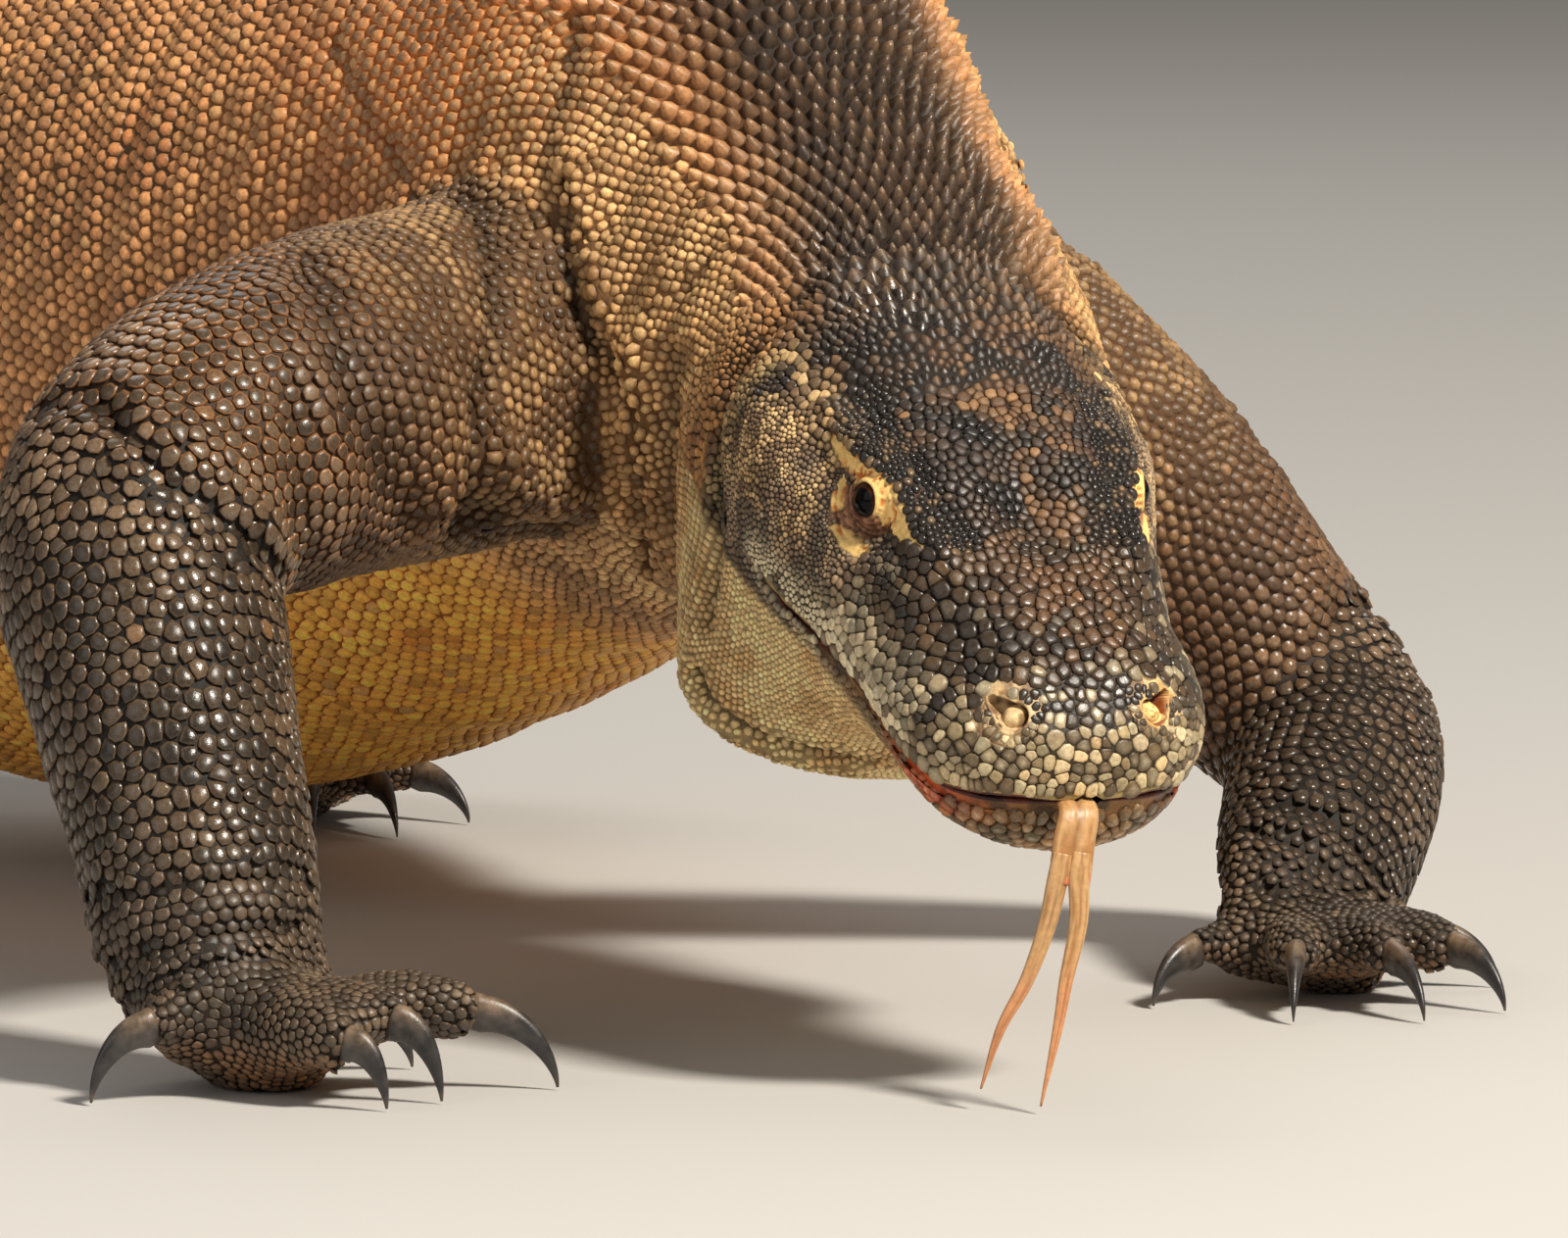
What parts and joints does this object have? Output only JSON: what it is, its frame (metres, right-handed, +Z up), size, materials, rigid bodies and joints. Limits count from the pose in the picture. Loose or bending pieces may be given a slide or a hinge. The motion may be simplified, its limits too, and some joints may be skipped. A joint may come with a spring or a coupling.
{
  "type": "komodo dragon model",
  "caption": "Life-size still model of a heavy komodo dragon standing on all fours, head lowered and turned, forked tongue out, tail laid on the floor.",
  "frame": {"origin": "floor point under the middle of the animal's bounding box", "axes": "+Z up from the floor, -Y the way the animal faces, +X its left side"},
  "size_m": [0.6584, 2.3415, 0.4191],
  "materials": {
    "head_skin": "satin",
    "jaw_skin": "satin",
    "body_skin": "matte",
    "limb_skin": "satin",
    "claw_horn": "satin",
    "eye": "gloss",
    "tongue": "satin"
  },
  "bodies": {
    "root": {"head": "head_skin", "lower_jaw": "jaw_skin", "tongue": "tongue", "eye_right": "eye", "eye_left": "eye", "neck": "body_skin", "thorax": "body_skin", "abdomen": "body_skin", "pelvis": "body_skin", "tail_base": "body_skin", "tail_mid": "body_skin", "tail_rear": "body_skin", "tail_tip": "body_skin", "upper_arm_right": "limb_skin", "forearm_right": "limb_skin", "hand_right": "limb_skin", "upper_arm_left": "limb_skin", "forearm_left": "limb_skin", "hand_left": "limb_skin", "thigh_left": "limb_skin", "shank_left": "limb_skin", "foot_left": "limb_skin", "thigh_right": "limb_skin", "shank_right": "limb_skin", "foot_right": "limb_skin", "fore_right_claw_5": "claw_horn", "fore_right_claw_4": "claw_horn", "fore_right_claw_3": "claw_horn", "fore_right_claw_2": "claw_horn", "fore_right_claw_1": "claw_horn", "fore_left_claw_5": "claw_horn", "fore_left_claw_4": "claw_horn", "fore_left_claw_3": "claw_horn", "fore_left_claw_2": "claw_horn", "fore_left_claw_1": "claw_horn", "hind_left_claw_5": "claw_horn", "hind_left_claw_4": "claw_horn", "hind_left_claw_3": "claw_horn", "hind_left_claw_2": "claw_horn", "hind_left_claw_1": "claw_horn", "hind_right_claw_5": "claw_horn", "hind_right_claw_4": "claw_horn", "hind_right_claw_3": "claw_horn", "hind_right_claw_2": "claw_horn", "hind_right_claw_1": "claw_horn"}
  },
  "joints": []
}
